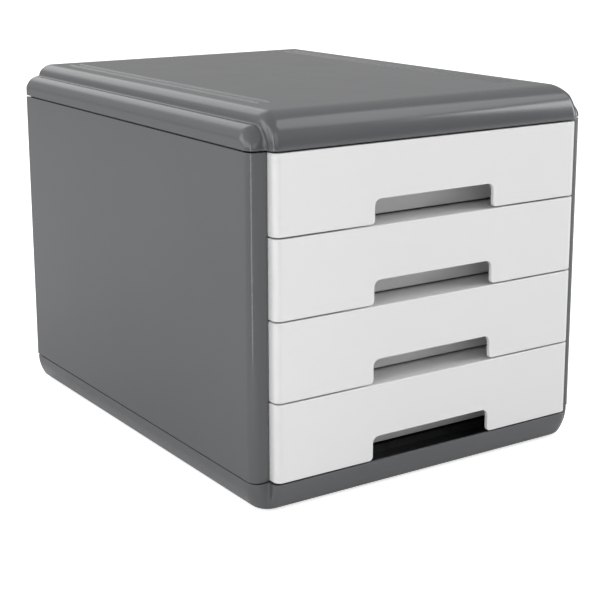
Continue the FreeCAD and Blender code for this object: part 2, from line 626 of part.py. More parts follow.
screws = []
for n, (x, y) in enumerate(POSTS):
    b = body("screw_%d" % (n + 1))
    b.setExpression("Placement.Base.x", ex(x))
    b.setExpression("Placement.Base.y", ex(y))
    sk = sketch(b, "screw_profile_%d" % n, "XZ_Plane", None, [[
        ("0", "2.8"), ("2.9", "2.8"), ("3.7", "3.6"), ("3.7", "5"), ("1.6", "5"), ("1.6", "15"), ("0", "16.4")]])
    r = b.newObject("PartDesign::Revolution", "screw_turn_%d" % n)
    r.Profile = sk
    r.ReferenceAxis = (sk, ["V_Axis"])
    r.Angle = 360
    doc.recompute()
    sk = sketch(b, "screw_cross_%d" % n, "XY_Plane", "2", [[
        ("-0.5", "-2.4"), ("0.5", "-2.4"), ("0.5", "-0.5"), ("2.4", "-0.5"), ("2.4", "0.5"), ("0.5", "0.5"),
        ("0.5", "2.4"), ("-0.5", "2.4"), ("-0.5", "0.5"), ("-2.4", "0.5"), ("-2.4", "-0.5"), ("-0.5", "-0.5")]])
    pocket(b, "screw_recess_%d" % n, sk, "2.1", True)
    screws.append(b)
group = doc.addObject("Part::Compound", "base_screws_group")
group.Links = screws
doc.recompute()
keep(group, "base_screws")

# ------------------------------------------------------------ test and write
doc.recompute()
bad = [o.Name for o in doc.Objects if "Invalid" in o.State or "Error" in o.State]
if bad:
    raise RuntimeError("failed objects: " + ", ".join(bad))
labels = [o.Label for o in SUBPARTS]
if len(set(labels)) != len(labels):
    raise RuntimeError("labels repeat")
for o in SUBPARTS:
    s = o.Shape
    if s.isNull() or not s.isValid() or not s.Solids:
        raise RuntimeError(o.Label + " has no valid solid")
    if len(s.Solids) != (4 if o.Label == "base_screws" else 1):
        raise RuntimeError("%s holds %d solids" % (o.Label, len(s.Solids)))
for o in SUBPARTS:
    o.Shape.exportStep("parts/%s.step" % o.Label)
    bb = o.Shape.BoundBox
    print("%-20s %8.1f cm3  X %.1f..%.1f  Y %.1f..%.1f  Z %.1f..%.1f" % (
        o.Label, o.Shape.Volume / 1000.0, bb.XMin, bb.XMax, bb.YMin, bb.YMax, bb.ZMin, bb.ZMax))
print(len(SUBPARTS), "sub-parts written")
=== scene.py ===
import math

import bmesh
import bpy
import numpy as np
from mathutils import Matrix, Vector, geometry


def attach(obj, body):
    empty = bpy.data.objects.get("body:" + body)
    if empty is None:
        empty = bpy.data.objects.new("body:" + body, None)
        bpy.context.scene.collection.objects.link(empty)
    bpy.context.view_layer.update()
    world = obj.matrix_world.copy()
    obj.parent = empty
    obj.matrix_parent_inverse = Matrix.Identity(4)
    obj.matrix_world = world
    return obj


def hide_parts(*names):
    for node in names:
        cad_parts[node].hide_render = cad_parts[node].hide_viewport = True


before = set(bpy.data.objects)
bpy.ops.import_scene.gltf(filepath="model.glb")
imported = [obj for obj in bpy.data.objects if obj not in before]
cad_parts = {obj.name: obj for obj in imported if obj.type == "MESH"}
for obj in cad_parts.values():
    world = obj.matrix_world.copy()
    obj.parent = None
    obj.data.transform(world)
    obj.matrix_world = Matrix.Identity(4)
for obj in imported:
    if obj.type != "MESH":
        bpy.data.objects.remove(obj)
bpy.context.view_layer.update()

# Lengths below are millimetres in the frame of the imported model; meshes are
# scaled to metres when they are made.
MM = 0.001
SEAM_LOW, PITCH = 22.8, 56.25
SEAM_TOP = SEAM_LOW + 4 * PITCH
LID_RIM, BASE_RIM = SEAM_TOP + 0.7, SEAM_LOW - 0.6
LID_TOP, BASE_LOW = 272.9, 1.0
FRONT, SIDE_FRONT, REAR = -183.0, -174.0, 183.0


# ------------------------------------------------------------- mesh building
class Build:
    """Collects points with their surface normals, and faces, for one mesh."""

    def __init__(self):
        self.points, self.normals, self.faces, self.count = [], [], [], 0

    def add(self, pts, nrm):
        pts = np.asarray(pts, float).reshape(-1, 3)
        nrm = np.asarray(nrm, float).reshape(-1, 3)
        start = self.count
        self.points.append(pts)
        self.normals.append(nrm / np.linalg.norm(nrm, axis=1, keepdims=True))
        self.count += len(pts)
        return list(range(start, self.count))

    def strip(self, a, b, closed=True):
        n = len(a)
        for i in range(n if closed else n - 1):
            j = (i + 1) % n
            self.faces.append((a[i], a[j], b[j], b[i]))

    def face(self, ring):
        self.faces.append(tuple(ring))

    def loft(self, rings, first_cap=True, last_cap=True):
        """Skin over rings of equal length, with a flat face at each end."""
        ids = [self.add(*r) for r in rings]
        for a, b in zip(ids, ids[1:]):
            self.strip(a, b)
        if first_cap:
            self.face(ids[0][::-1])
        if last_cap:
            self.face(ids[-1])
        return ids

    def filled(self, loops, z, up):
        """Flat face at height z inside the first loop, with the other loops as
        holes. A loop is a list of point numbers."""
        every = [i for loop in loops for i in loop]
        where = np.concatenate(self.points)[every]
        flat = [Vector((p[0], p[1])) for p in where]
        edges, at = [], 0
        for loop in loops:
            n = len(loop)
            edges += [(at + i, at + (i + 1) % n) for i in range(n)]
            at += n
        got = geometry.delaunay_2d_cdt(flat, edges, [], 4, 1e-5)
        back = [o[0] for o in got[3]]
        for f in got[2]:
            ring = [every[back[i]] for i in f]
            self.faces.append(tuple(ring if up else ring[::-1]))

    def object(self, name, turned=None):
        """Makes the mesh. turned maps points and normals, for parts that are
        drawn lying down."""
        v, n = np.concatenate(self.points), np.concatenate(self.normals)
        if turned is not None:
            v, n = turned(v), turned(n)
        bm = bmesh.new()
        made = [bm.verts.new(p) for p in v * MM]
        for f in self.faces:
            if len(set(f)) == len(f):
                bm.faces.new([made[i] for i in f])
        bmesh.ops.recalc_face_normals(bm, faces=bm.faces)
        mesh = bpy.data.meshes.new(name)
        bm.to_mesh(mesh)
        bm.free()
        mesh.polygons.foreach_set("use_smooth", [True] * len(mesh.polygons))
        mesh.normals_split_custom_set_from_vertices([tuple(x) for x in n])
        mesh.update()
        o = bpy.data.objects.new(name, mesh)
        bpy.context.scene.collection.objects.link(o)
        return o


def steps_for(r):
    return int(min(24, max(4, round(4 + 1.6 * r))))


def outline(corners, steps=None):
    """Closed plan line through (x, y, radius) corners, counter-clockwise, with
    an arc at each corner. Gives points and outward normals."""
    pts, nrm = [], []
    n = len(corners)
    for i, (x, y, r) in enumerate(corners):
        p = np.array((x, y), float)
        d0 = p - np.array(corners[i - 1][:2], float)
        d1 = np.array(corners[(i + 1) % n][:2], float) - p
        d0, d1 = d0 / np.hypot(*d0), d1 / np.hypot(*d1)
        turn = math.atan2(d0[0] * d1[1] - d0[1] * d1[0], float(d0 @ d1))
        s = 1.0 if turn > 0 else -1.0
        n0 = np.array((d0[1], -d0[0]))
        start = p - d0 * r * math.tan(abs(turn) / 2)
        centre = start - s * n0 * r
        k = steps or steps_for(r)
        for j in range(k + 1):
            a = turn * j / k
            m = np.array((n0[0] * math.cos(a) - n0[1] * math.sin(a), n0[0] * math.sin(a) + n0[1] * math.cos(a)))
            pts.append(centre + s * m * r)
            nrm.append(m)
    return np.array(pts), np.array(nrm)


def circle(x, y, r, n=48):
    a = np.arange(n) * 2 * math.pi / n
    m = np.c_[np.cos(a), np.sin(a)]
    return np.array((x, y)) + m * r, m


def arc(plan, off, z, r, a0, a1, steps, sign=1.0):
    """Rings that turn from angle a0 to a1 about a line that runs beside the
    plan at distance off and height z. sign -1 is the hollow side."""
    P, N = plan
    rings = []
    for k in range(steps + 1):
        a = math.radians(a0 + (a1 - a0) * k / steps)
        c, s = math.cos(a), math.sin(a)
        rings.append((np.c_[P + N * (off + r * c), np.full(len(P), z + r * s)],
                      np.c_[N * c, np.full(len(P), s)] * sign))
    return rings


def prism(B, plan, z0, z1, r0=0.35, r1=0.35, steps=4):
    """Closed solid over a plan with its lower and upper edges rounded."""
    return B.loft(arc(plan, -r0, z0 + r0, r0, -90, 0, steps) + arc(plan, -r1, z1 - r1, r1, 0, 90, steps))


def block(B, x0, x1, y0, y1, z0, z1, r=0.3):
    x0, x1 = min(x0, x1), max(x0, x1)
    prism(B, outline([(x0, y0, r), (x1, y0, r), (x1, y1, r), (x0, y1, r)], 3), z0, z1, r, r, 3)


def flipped(plan):
    """The same plan mirrored left to right, still counter-clockwise."""
    P, N = plan
    m = np.array((-1.0, 1.0))
    return (P * m)[::-1], (N * m)[::-1]


# ------------------------------------------------- curved shells: lid, base
def corner(a, b, r):
    """Distance to the corner of two walls with that rounding."""
    qa, qb = a + r, b + r
    return np.minimum(np.maximum(qa, qb), 0) + np.hypot(np.maximum(qa, 0), np.maximum(qb, 0)) - r


def joined(a, b, r):
    """Two bodies as one, with a hollow rounding where they meet."""
    h = np.maximum(r - np.abs(a - b), 0) / r
    return np.minimum(a, b) - r / 2 * (1 + h - np.sqrt(1 - h * (h - 2)))


def ease(t):
    t = np.clip(t, 0, 1)
    return t * t * (3 - 2 * t)


def lid_body(x, y, z):
    """Low shoulders with a full rounding and between them the raised panel,
    whose long sides slope and whose front rolls down to the seam."""
    ax = np.abs(x)
    t = ease((z - LID_RIM - 1.0) / 15.0)
    wall = ax - 132.9 - 1.0 * (y - FRONT) / 366.0
    slope = (ax - 134.0) * 0.899 + (z - 263.9) * 0.438
    panel = corner(corner(FRONT - y, z - LID_TOP, 23.3), corner(wall, slope, 2.5), 5.6 + 1.2 * t)
    t = ease((z - LID_RIM - 1.0) / 9.0)
    low = corner(corner(SIDE_FRONT - y, z - 263.9, 14.9), ax - 145.0, 6.9 + 4.3 * t)
    return corner(joined(panel, low, 3.0 - 1.6 * t), y - REAR, 1.6)


BASE_CURVE = 20.0     # height of the part of the base that leans in


def base_body(x, y, z):
    """A block with large upright corners that leans in towards its underside,
    cut back at the rim to the stepped plan of the fronts and side strips."""
    ax = np.abs(x)
    v = np.clip((BASE_LOW + BASE_CURVE - z) / BASE_CURVE, 0, 1)
    lean = 1 - (1 - v ** 1.42) ** (1 / 1.42)
    r = 21.0 - 11.0 * lean
    block_side = corner(FRONT + 11.3 * lean - y, ax - 145.0 + 8.9 * lean, r)
    mid = corner(FRONT - y, ax - 132.3, 5.4)
    low = corner(SIDE_FRONT - y, ax - 145.0, 6.9)
    side = -joined(-block_side, -joined(mid, low, 2.2), 1.6)
    return corner(corner(side, BASE_LOW - z, 3.0), y - REAR, 1.6)


def base_hollow(x, y, z):
    """The inside of the base, 2.5 mm in from its skin."""
    ax = np.abs(x)
    v = np.clip((BASE_LOW + BASE_CURVE - z) / BASE_CURVE, 0, 1)
    lean = 1 - (1 - v ** 1.42) ** (1 / 1.42)
    block_side = corner(FRONT + 2.8 + 11.3 * lean - y, ax - 142.2 + 8.9 * lean, 18.4 - 10.0 * lean)
    block_side = corner(block_side, BASE_LOW + 2.5 - z, 2.0)
    mid = corner(FRONT + 2.5 - y, ax - 129.8, 2.9)
    low = corner(SIDE_FRONT + 2.5 - y, ax - 142.5, 4.4)
    return corner(np.maximum(block_side, joined(mid, low, 1.0)), y - REAR + 2.5, 0.5)


def slope(f, p, e=0.01):
    g = np.stack([f(*(p + d * e).T) - f(*(p - d * e).T) for d in np.eye(3)], -1)
    return g / np.linalg.norm(g, axis=-1, keepdims=True)


FAN_X, FAN_FRONT, FAN_REAR = 118.0, -150.0, 170.0
LID_FLAT, BASE_FLAT = 3.0, 10.8     # how far the flat middle reaches beyond those lines


def ray_lines():
    """Start points and directions in plan, all round the object from the front
    middle over the left side to the rear middle and back on the right."""
    o, d = [], []
    for x in (0.0, 49.0, 98.0, 116.0):
        o.append((-x, FAN_FRONT)); d.append((0.0, -1.0))
    for a in np.linspace(0, 90, 150):
        o.append((-FAN_X, FAN_FRONT)); d.append((-math.sin(math.radians(a)), -math.cos(math.radians(a))))
    for y in np.linspace(FAN_FRONT, FAN_REAR, 14)[1:-1]:
        o.append((-FAN_X, y)); d.append((-1.0, 0.0))
    for a in np.linspace(0, 90, 90):
        o.append((-FAN_X, FAN_REAR)); d.append((-math.cos(math.radians(a)), math.sin(math.radians(a))))
    for x in (116.0, 98.0, 49.0, 0.0):
        o.append((-x, FAN_REAR)); d.append((0.0, 1.0))
    o, d = np.array(o), np.array(d)
    m = np.array((-1.0, 1.0))
    return np.concatenate([o, (o * m)[::-1][1:-1]]), np.concatenate([d, (d * m)[::-1][1:-1]])


RAY_O, RAY_D = ray_lines()


def solve(g, low, high, rounds=46):
    """Where g turns from negative to positive between low and high."""
    low, high = low.copy(), high.copy()
    for _ in range(rounds):
        mid = (low + high) / 2
        inside = g(mid) < 0
        low, high = np.where(inside, mid, low), np.where(inside, high, mid)
    return (low + high) / 2


def shell_surface(body, rim, way, depth, skin, levels, sign, flat):
    """Rings over the curved surface that lies skin inside the body, from just
    beyond the rim to its flat middle. way is +1 for a lid and -1 for a base,
    and depth the distance from the rim to the flat middle."""
    f = lambda x, y, z: body(x, y, z) + skin
    n = len(RAY_O)
    reach = solve(lambda s: f(RAY_O[:, 0] + RAY_D[:, 0] * s, RAY_O[:, 1] + RAY_D[:, 1] * s, np.full(n, rim)),
                  np.zeros(n), np.full(n, 60.0))
    plan = RAY_O + RAY_D * reach[:, None]
    g = slope(f, np.c_[plan, np.full(n, rim)])
    out = g[:, :2] / np.linalg.norm(g[:, :2], axis=1, keepdims=True)
    rings = []
    for lv in levels:
        c = 0.35 + (reach - flat + depth - 0.35) * lv

        def at(s):
            r = reach - c + s
            return np.stack([RAY_O[:, 0] + RAY_D[:, 0] * r, RAY_O[:, 1] + RAY_D[:, 1] * r, rim + way * s], -1)
        s = solve(lambda s: f(*at(s).T), np.zeros(n), np.minimum(c, depth + 6.0))
        p = at(s)
        rings.append((p, slope(f, p) * sign))
    # the last ring lies in the flat middle
    p, m = rings[-1]
    p[:, 2] = rim + way * depth
    m[:] = (0, 0, way * sign)
    return (plan, out), rings


def curved_shell(B, body, rim, way, top, wall, flat, levels_out, levels_in, hollow=None):
    """Outer skin, rim and inner skin of the lid or the base. Gives the last
    ring of the outer and of the inner skin. Without a hollow of its own the
    inner skin lies one wall thickness inside the body."""
    depth = abs(top - rim)
    outer, out_rings = shell_surface(body, rim, way, depth, 0.0, levels_out, 1.0, flat)
    inner, in_rings = shell_surface(hollow or body, rim, way, depth - wall, 0.0 if hollow else wall, levels_in, -1.0, flat)
    edge = arc(outer, -0.35, rim + way * 0.35, 0.35, 0 if way > 0 else 0, -90 * way, 4)
    edge_in = arc(inner, 0.3, rim + way * 0.3, 0.3, -90 * way, -180 * way, 4)
    rings = out_rings[::-1] + edge[1:] + edge_in[:-1] + in_rings
    ids = B.loft(rings, False, False)
    return ids[0], ids[-1]


def spaced(n, power=1.0):
    return np.linspace(0, 1, n) ** power


# ------------------------------------------------------------------ materials
def node(tree, kind, **values):
    made = tree.nodes.new(kind)
    for k, v in values.items():
        if k.startswith("_"):
            setattr(made, k[1:], v)
        else:
            made.inputs[k.replace("_", " ")].default_value = v
    return made


def moulded(name, colour, tint, rough, rough_spread, grain, grain_size, wave, ior=1.5, scuff=0.0):
    """Injection moulded plastic: a faint cloudy change of shade, a roughness
    that varies in patches, a fine surface grain and the slow waviness that a
    large moulding has."""
    mat = bpy.data.materials.new(name)
    mat.use_nodes = True
    t = mat.node_tree
    t.nodes.clear()
    out = node(t, "ShaderNodeOutputMaterial")
    shader = node(t, "ShaderNodeBsdfPrincipled")
    shader.inputs["IOR"].default_value = ior
    shader.inputs["Metallic"].default_value = 0.0
    where = node(t, "ShaderNodeTexCoord")
    link = t.links.new

    cloud = node(t, "ShaderNodeTexNoise", Scale=7.0, Detail=3.0, Roughness=0.5)
    link(where.outputs["Object"], cloud.inputs["Vector"])
    fine = node(t, "ShaderNodeTexNoise", Scale=420.0, Detail=2.0, Roughness=0.6)
    link(where.outputs["Object"], fine.inputs["Vector"])
    shade = node(t, "ShaderNodeMix", _data_type="RGBA")
    a, b = tint
    shade.inputs["A"].default_value = [c * a for c in colour] + [1]
    shade.inputs["B"].default_value = [c * b for c in colour] + [1]
    both = node(t, "ShaderNodeMath", _operation="MULTIPLY_ADD")
    both.inputs[1].default_value = 0.25
    link(fine.outputs["Fac"], both.inputs[0])
    soft = node(t, "ShaderNodeMapRange")
    soft.inputs["From Min"].default_value = 0.3
    soft.inputs["From Max"].default_value = 0.7
    soft.inputs["To Min"].default_value = 0.0
    soft.inputs["To Max"].default_value = 0.75
    link(cloud.outputs["Fac"], soft.inputs["Value"])
    link(soft.outputs["Result"], both.inputs[2])
    link(both.outputs["Value"], shade.inputs["Factor"])
    link(shade.outputs["Result"], shader.inputs["Base Color"])

    patch = node(t, "ShaderNodeTexNoise", Scale=26.0, Detail=5.0, Roughness=0.62)
    link(where.outputs["Object"], patch.inputs["Vector"])
    gloss = node(t, "ShaderNodeMapRange")
    gloss.inputs["From Min"].default_value = 0.3
    gloss.inputs["From Max"].default_value = 0.7
    gloss.inputs["To Min"].default_value = rough - rough_spread
    gloss.inputs["To Max"].default_value = rough + rough_spread
    link(patch.outputs["Fac"], gloss.inputs["Value"])
    link(gloss.outputs["Result"], shader.inputs["Roughness"])

    pebble = node(t, "ShaderNodeTexNoise", Scale=grain_size, Detail=2.0, Roughness=0.5)
    link(where.outputs["Object"], pebble.inputs["Vector"])
    swell = node(t, "ShaderNodeTexNoise", Scale=16.0, Detail=1.0, Roughness=0.4)
    link(where.outputs["Object"], swell.inputs["Vector"])
    lump = node(t, "ShaderNodeBump", Strength=1.0, Distance=wave)
    link(swell.outputs["Fac"], lump.inputs["Height"])
    skin = node(t, "ShaderNodeBump", Strength=1.0, Distance=grain)
    link(pebble.outputs["Fac"], skin.inputs["Height"])
    link(lump.outputs["Normal"], skin.inputs["Normal"])
    link(skin.outputs["Normal"], shader.inputs["Normal"])
    link(shader.outputs["BSDF"], out.inputs["Surface"])
    return mat


GREY = (0.0915, 0.0938, 0.1000)
WHITE = (0.779, 0.778, 0.780)
HOUSING = moulded("housing_plastic", GREY, (0.965, 1.035), 0.17, 0.02, 0.000002, 900.0, 0.000015, ior=1.58)
RUNNER = moulded("runner_plastic", (0.075, 0.077, 0.079), (0.95, 1.05), 0.42, 0.05, 0.000012, 1100.0, 0.00002)
FACE = moulded("drawer_plastic", WHITE, (0.985, 1.01), 0.30, 0.012, 0.000003, 900.0, 0.000008)
TUB = moulded("tub_plastic", (0.74, 0.743, 0.745), (0.975, 1.015), 0.45, 0.05, 0.00001, 1300.0, 0.00002)
RUBBER = moulded("foot_rubber_black", (0.018, 0.018, 0.019), (0.85, 1.2), 0.72, 0.06, 0.00003, 1500.0, 0.00001, ior=1.45)


def screw_steel():
    mat = bpy.data.materials.new("screw_zinc")
    mat.use_nodes = True
    t = mat.node_tree
    t.nodes.clear()
    out = node(t, "ShaderNodeOutputMaterial")
    shader = node(t, "ShaderNodeBsdfPrincipled")
    shader.inputs["Metallic"].default_value = 1.0
    where = node(t, "ShaderNodeTexCoord")
    link = t.links.new
    spots = node(t, "ShaderNodeTexNoise", Scale=600.0, Detail=4.0, Roughness=0.6)
    link(where.outputs["Object"], spots.inputs["Vector"])
    shade = node(t, "ShaderNodeMix", _data_type="RGBA")
    shade.inputs["A"].default_value = (0.46, 0.47, 0.48, 1)
    shade.inputs["B"].default_value = (0.62, 0.62, 0.60, 1)
    link(spots.outputs["Fac"], shade.inputs["Factor"])
    link(shade.outputs["Result"], shader.inputs["Base Color"])
    gloss = node(t, "ShaderNodeMapRange")
    gloss.inputs["To Min"].default_value = 0.28
    gloss.inputs["To Max"].default_value = 0.5
    link(spots.outputs["Fac"], gloss.inputs["Value"])
    link(gloss.outputs["Result"], shader.inputs["Roughness"])
    lump = node(t, "ShaderNodeBump", Strength=1.0, Distance=0.00001)
    link(spots.outputs["Fac"], lump.inputs["Height"])
    link(lump.outputs["Normal"], shader.inputs["Normal"])
    link(shader.outputs["BSDF"], out.inputs["Surface"])
    return mat


STEEL = screw_steel()


def finish_piece(o, material, slot, rides, *stands_for):
    o.data.materials.clear()
    o.data.materials.append(material)
    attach(o, rides)
    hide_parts(*stands_for)
    return o


# ------------------------------------------------------------------- the lid
def ridge_height(x, y):
    """Two fine raised lines along each side of the lid's top."""
    h = np.zeros_like(x)
    for c in (102.6, 111.2):
        across = 1 - ease((np.abs(np.abs(x) - c) - 0.45) / 1.15)
        ends = ease((y + 137.0) / 10.0) * ease((166.0 - y) / 2.4)
        h = np.maximum(h, 0.68 * across * ends)
    return h


def make_lid():
    B = Build()
    out_ids, in_ids = curved_shell(B, lid_body, LID_RIM, 1.0, LID_TOP, 2.5, LID_FLAT, spaced(84), spaced(26))
    B.face(in_ids)
    # the flat top: plain on the outside and in the middle, finely divided where
    # the ridges run
    pts = np.concatenate(B.points)

    def find(x, y):
        d = [abs(pts[i][0] - x) + abs(pts[i][1] - y) for i in out_ids]
        k = int(np.argmin(d))
        if d[k] > 0.05:
            raise RuntimeError("the flat top has no point at %g, %g" % (x, y))
        return k

    y0, y1 = FAN_FRONT - LID_FLAT, FAN_REAR + LID_FLAT
    ys = np.concatenate([[y0, -139.0], np.linspace(-138, -122, 17), [-90.0, -40.0, 20.0, 80.0, 130.0, 158.0], np.linspace(162.6, 166.4, 14), [y1]])
    lines = {}
    for s in (-1.0, 1.0):
        near = [98.0, 99.6] + list(np.linspace(100.8, 104.4, 19)) + [107.0] + list(np.linspace(109.4, 113.0, 19)) + [114.0, 116.0]
        xs = np.array(near) * s
        grid = []
        for x in xs:
            col = []
            for y in ys:
                if abs(abs(x) - 98) < 1e-6 or abs(abs(x) - 116) < 1e-6:
                    if y in (y0, y1):
                        col.append(out_ids[find(x, y)])
                        continue
                h = float(ridge_height(np.array(x), np.array(y)))
                e = 0.02
                gx = float(ridge_height(np.array(x + e), np.array(y)) - ridge_height(np.array(x - e), np.array(y))) / (2 * e)
                gy = float(ridge_height(np.array(x), np.array(y + e)) - ridge_height(np.array(x), np.array(y - e))) / (2 * e)
                col += B.add([(x, y, LID_TOP + h)], [(-gx, -gy, 1.0)])
            grid.append(col)
        for a, b in zip(grid, grid[1:]):
            B.strip(a, b, False)
        lines[s] = (grid[0], grid[-1], [c[0] for c in grid], [c[-1] for c in grid])
    n = len(out_ids)

    def walk(a, b):
        """Ring numbers from a to b, going on in the ring's own direction."""
        got = [a]
        while got[-1] != b:
            got.append((got[-1] + 1) % n)
        return got
    # the ring runs from the front middle over the left side to the rear
    left = [out_ids[k] for k in walk(find(-116, y0), find(-116, y1))]
    B.face(left + lines[-1.0][1][1:-1][::-1])
    right = [out_ids[k] for k in walk(find(116, y1), find(116, y0))]
    B.face(right + lines[1.0][1][1:-1])
    front = [out_ids[k] for k in walk(find(98, y0), find(-98, y0))]
    back = [out_ids[k] for k in walk(find(-98, y1), find(98, y1))]
    B.face(front + lines[-1.0][0][1:-1] + back + lines[1.0][0][1:-1][::-1])
    # stiffening ribs and the two long seats on the runner panels
    for y in (-120, -45, 30, 105):
        block(B, -124, 124, y, y + 2, LID_TOP - 9, LID_TOP - 2.2)
    for x in (-66, -1, 64):
        block(B, x, x + 2, -150, 179.5, LID_TOP - 9, LID_TOP - 2.2)
    for s in (-1, 1):
        block(B, s * 132.2, s * 134.7, -158, 179.5, 255.05, 259.8)
    return B.object("lid")


def make_base():
    B = Build()
    out_ids, in_ids = curved_shell(B, base_body, BASE_RIM, -1.0, BASE_LOW, 2.5, BASE_FLAT, spaced(72), spaced(26), base_hollow)
    B.face(in_ids)
    loops = [out_ids]
    # round pockets for the feet and deep ones for the screw heads
    for x, y, r, deep in [(sx * 104.0, y, 9.3, 1.2) for sx in (-1, 1) for y in (-146.0, 154.0)] + \
                         [(sx * 124.0, y, 4.3, 4.0) for sx in (-1, 1) for y in (-138.0, 146.0)]:
        plan = circle(x, y, r)
        rings = arc(plan, 0.3, BASE_LOW + 0.3, 0.3, -90, -180, 3)
        rings += arc(plan, -0.3, BASE_LOW + deep - 0.3, 0.3, 0, 90, 3, -1.0)
        ids = B.loft(rings, False, True)
        loops.append(ids[0])
    B.filled(loops, BASE_LOW, False)
    for y in (-130, -60, 10, 80, 130):
        block(B, -116, 116, y, y + 2, 3.0, 9.0)
    for x in (-61, -1, 59):
        block(B, x, x + 2, -130, 181, 3.0, 9.0)
    for sx in (-1, 1):
        for y in (-138.0, 146.0):
            out_plan, in_plan = circle(sx * 124.0, y, 6.4), circle(sx * 124.0, y, 4.6)
            ring = arc(out_plan, -0.3, 3.1, 0.3, -90, 0, 3) + arc(out_plan, -0.3, 11.6, 0.3, 0, 90, 3)
            ring += arc(in_plan, 0.3, 11.6, 0.3, 90, 180, 3) + arc(in_plan, 0.3, 3.1, 0.3, 180, 270, 3)
            ids = B.loft(ring, False, False)
            B.strip(ids[-1], ids[0])
    return B.object("base")


# ----------------------------------------------------------------- the sides
def make_side(s):
    plan = outline([(-145, SIDE_FRONT, 6.9), (-131.9, SIDE_FRONT, 0.5), (-131.9, -171.5, 0.5),
                    (-142.5, -171.5, 4.4), (-142.5, REAR, 0.4), (-145, REAR, 1.2)])
    if s > 0:
        plan = flipped(plan)
    B = Build()
    prism(B, plan, SEAM_LOW + 0.4, SEAM_TOP - 0.4, 0.35, 0.35, 5)
    # tongues that reach into the lid and the base behind the seams
    block(B, s * 140.0, s * 142.2, -162, 179, SEAM_TOP - 9, SEAM_TOP + 5.2)
    block(B, s * 141.5, s * 142.9, -161, 178, SEAM_TOP - 8.5, SEAM_TOP - 1.0)
    block(B, s * 140.0, s * 142.2, -162, 179, SEAM_LOW - 2.4, SEAM_LOW + 9)
    block(B, s * 141.5, s * 142.9, -161, 178, SEAM_LOW + 1.0, SEAM_LOW + 8.5)
    for y in (-110, 0, 110):
        block(B, s * 134.7, s * 142.9, y, y + 2, SEAM_LOW + 6, SEAM_TOP - 6)
    return B.object("left_side" if s < 0 else "right_side")


def make_runner(s):
    B = Build()
    block(B, s * 132.2, s * 134.7, -169.5, 179.7, 12.0, 255.0, 0.4)
    for n in range(4):
        z = SEAM_LOW + PITCH * n
        block(B, s * 127.3, s * 132.7, -150, 176.2, z + 46.2, z + 49.2, 0.45)
        block(B, s * 127.3, s * 132.7, -150, -68, z + 52.4, z + 54.6, 0.45)
    foot = outline([(118, -165, 1.5), (132.7, -165, 0.4), (132.7, 175, 0.4), (118, 175, 1.5)])
    prism(B, foot if s > 0 else flipped(foot), 12.0, 14.5, 0.4, 0.4)
    return B.object("left_runner" if s < 0 else "right_runner")


def make_back():
    """Drawn flat as (x, height) with the thickness upwards, then stood up."""
    B = Build()
    edge = outline([(-142.2, 23.2, 1.5), (142.2, 23.2, 1.5), (142.2, 247.4, 1.5), (-142.2, 247.4, 1.5)], 10)
    field = outline([(-110, 48.8, 8.0), (110, 48.8, 8.0), (110, 221.8, 8.0), (-110, 221.8, 8.0)], 10)
    rings = arc(edge, -0.3, 0.3, 0.3, -90, 0, 3) + arc(edge, -0.8, 2.5 - 0.8, 0.8, 0, 90, 5)
    rings += arc(field, 0.3, 2.5 - 0.3, 0.3, 90, 180, 4) + arc(field, -0.3, 1.7 + 0.3, 0.3, 0, -90, 4, -1.0)
    B.loft(rings)
    # (x, height, thickness) -> (x, Y, Z)
    first = {"points": True}

    def stand(a):
        shift = 180.2 if first["points"] else 0.0
        first["points"] = False
        return np.c_[a[:, 0], a[:, 2] + shift, a[:, 1]]
    return B.object("rear_wall", stand)


